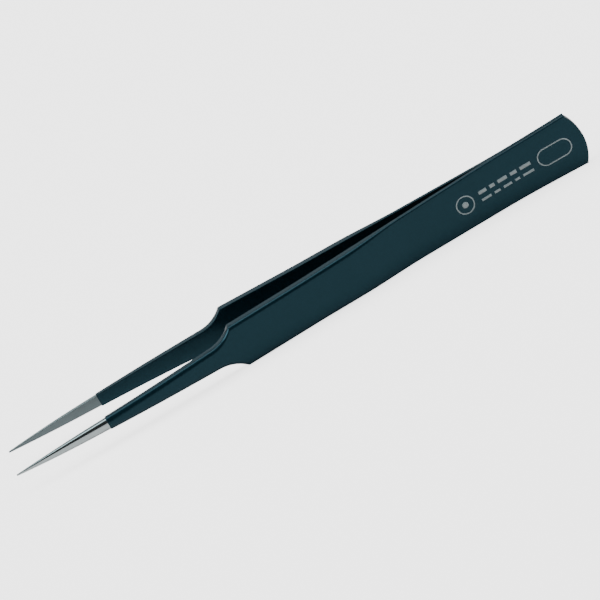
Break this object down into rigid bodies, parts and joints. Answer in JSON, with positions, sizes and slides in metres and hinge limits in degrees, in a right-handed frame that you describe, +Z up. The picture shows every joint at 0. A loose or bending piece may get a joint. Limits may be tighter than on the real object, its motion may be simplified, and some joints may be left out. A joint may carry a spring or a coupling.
{
  "type": "precision tweezers",
  "caption": "Precision tweezers: two long coated leaf arms welded at the heel, with stepped slim necks and bare needle points.",
  "frame": {"origin": "middle of the tweezers' box, on the surface that their long lower edges lie on", "axes": "+X towards the welded heel, tips at -X; Y across the opening, left arm at -Y, right arm at +Y; +Z up, across the width of the leaves"},
  "size_m": [0.11, 0.0128, 0.0097],
  "materials": {
    "steel": "finely ground stainless steel",
    "weld": "spot weld nugget",
    "coating": "satin, very dark blue-green polymer coating",
    "ink": "light grey printed mark"
  },
  "bodies": {
    "heel": {"left_heel_leaf": "steel", "right_heel_leaf": "steel", "spot_welds": "weld", "heel_coating": "coating", "oval_mark": "ink", "bar_marks": "ink", "ring_mark": "ink"},
    "left_arm": {"left_blade": "steel", "left_blade_coating": "coating"},
    "right_arm": {"right_blade": "steel", "right_blade_coating": "coating"}
  },
  "joints": [
    {"name": "left_arm_squeeze", "type": "hinge", "parent": "heel", "child": "left_arm", "pos_m": [0.02902, -0.00111, 0.00451], "axis": [0.014, 0, -0.9999], "range_deg": [0, 3.45], "stiffness_Nm_per_rad": 1.4},
    {"name": "right_arm_squeeze", "type": "hinge", "parent": "heel", "child": "right_arm", "pos_m": [0.02902, 0.00111, 0.00451], "axis": [-0.014, 0, 0.9999], "range_deg": [0, 3.45], "stiffness_Nm_per_rad": 1.4}
  ]
}
